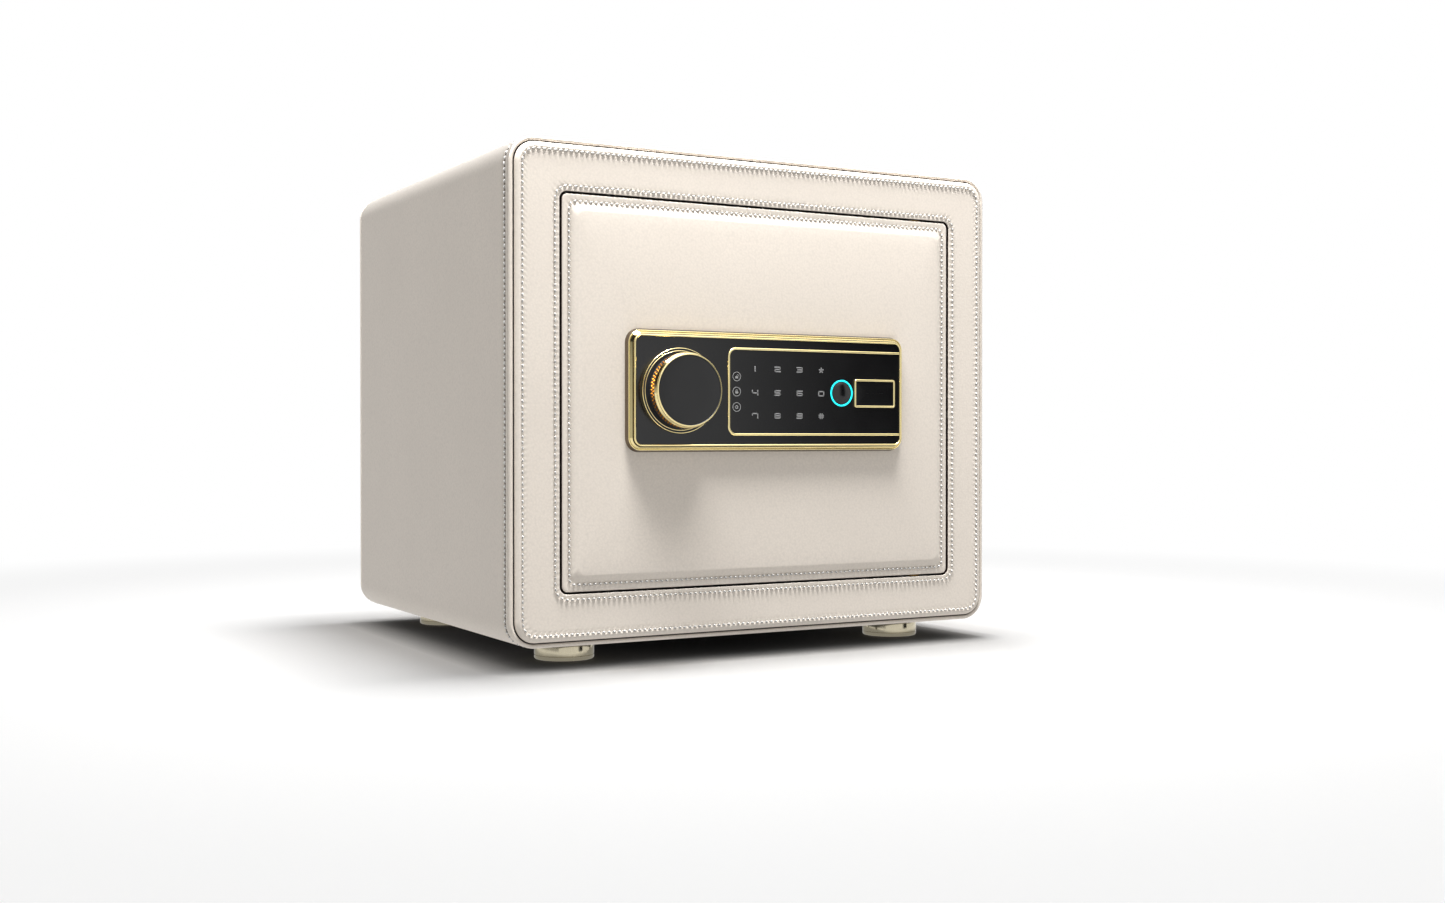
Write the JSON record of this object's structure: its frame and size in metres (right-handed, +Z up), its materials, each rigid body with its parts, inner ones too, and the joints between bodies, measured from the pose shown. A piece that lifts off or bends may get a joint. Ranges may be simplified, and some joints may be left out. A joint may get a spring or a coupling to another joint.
{
  "type": "in-room safe",
  "caption": "Leather-clad in-room safe with a hinged padded door, keypad and fingerprint lock panel, turning knob and sliding door bolts.",
  "frame": {"origin": "floor level under the middle of the bounding box", "axes": "front faces -Y, +X to the viewer's right, +Z up"},
  "size_m": [0.348, 0.3174, 0.314],
  "materials": {
    "leather": "fine pebble grain, matt, cream",
    "steel": "grey powder coat",
    "lock_steel": "bright zinc-plated steel",
    "felt": "short dark felt",
    "gold": "satin champagne gold",
    "bright_gold": "polished gold",
    "foot_metal": "satin champagne",
    "black_gloss": "glossy black",
    "black_matt": "moulded black",
    "lit_ring": "lit cyan light pipe",
    "board": "green solder mask",
    "coil": "copper-brown tape",
    "bronze": "sintered bronze",
    "cell": "printed steel can",
    "cable": "grey flat cable",
    "red_plastic": "moulded red"
  },
  "bodies": {
    "cabinet": {"steel_shell": "steel", "back_plate": "steel", "back_cover": "leather", "leather_wrap": "leather", "edge_piping": "leather", "front_frame": "steel", "door_jamb": "steel", "front_panel": "leather", "lining_floor": "felt", "lining_roof": "felt", "lining_left": "felt", "lining_right": "felt", "lining_back": "felt", "feet": "foot_metal", "foot_screws": "lock_steel", "foot_pads": "felt", "hinge_pins": "lock_steel", "hinge_bosses": "steel", "hinge_washers": "bronze"},
    "door": {"door_plate": "steel", "door_cover": "leather", "door_pad": "leather", "hinge_blocks": "lock_steel", "lock_base": "black_matt", "lock_bezel": "gold", "face_plate": "black_gloss", "keypad_trim": "bright_gold", "keypad_board": "board", "fingerprint_sensor": "black_gloss", "fingerprint_ring": "lit_ring", "knob_ring": "bright_gold", "spindle_bush": "bronze", "bolt_guides": "lock_steel", "guide_posts": "lock_steel", "fixed_bolts": "lock_steel", "inner_cover": "black_matt", "cover_posts": "lock_steel", "cover_screws": "lock_steel", "solenoid_coil": "coil", "solenoid_bracket": "lock_steel", "control_board": "board", "board_standoffs": "bronze", "ribbon_cable": "cable", "buzzer": "black_matt", "battery_holder": "black_matt", "battery_cells": "cell", "key_cylinder": "lock_steel", "key_nut": "lock_steel"},
    "knob": {"knob_grip": "bright_gold", "knob_cap": "black_gloss", "spindle": "lock_steel", "cam_plate": "lock_steel"},
    "bolt_carriage": {"bolt_bar": "lock_steel", "locking_bolts": "lock_steel"},
    "plunger": {"solenoid_plunger": "lock_steel"},
    "key_core": {"key_plug": "bronze", "key_cam": "lock_steel"},
    "key_plate": {"key_cover": "bright_gold"},
    "battery_lid": {"battery_cover": "black_matt"},
    "reset": {"reset_button": "red_plastic"}
  },
  "joints": [
    {"name": "door_swing", "type": "hinge", "parent": "cabinet", "child": "door", "pos_m": [0.1195, -0.1283, 0.1635], "axis": [0, 0, 1], "range_deg": [0, 100]},
    {"name": "knob_turn", "type": "hinge", "parent": "door", "child": "knob", "pos_m": [-0.067, -0.1513, 0.1657], "axis": [0, -1, 0], "range_deg": [0, 90]},
    {"name": "bolt_throw", "type": "slide", "parent": "door", "child": "bolt_carriage", "axis": [-1, 0, 0], "range_m": [0, 0.018]},
    {"name": "plunger_drop", "type": "slide", "parent": "door", "child": "plunger", "axis": [0, 0, -1], "range_m": [0, 0.01]},
    {"name": "key_turn", "type": "hinge", "parent": "door", "child": "key_core", "pos_m": [0.07675, -0.1373, 0.1657], "axis": [0, -1, 0], "range_deg": [0, 90]},
    {"name": "key_cover_pull", "type": "slide", "parent": "door", "child": "key_plate", "axis": [0, -1, 0], "range_m": [0, 0.02]},
    {"name": "battery_cover_slide", "type": "slide", "parent": "door", "child": "battery_lid", "axis": [0, 0, 1], "range_m": [0, 0.055]},
    {"name": "reset_press", "type": "slide", "parent": "door", "child": "reset", "axis": [0, -1, 0], "range_m": [0, 0.0015], "stiffness_N_per_m": 300}
  ],
  "couplings": [
    {"joint": "knob_turn", "follows": "bolt_throw", "rad_per_m": 87.266},
    {"joint": "plunger_drop", "follows": "bolt_throw", "ratio": 0.55555}
  ]
}
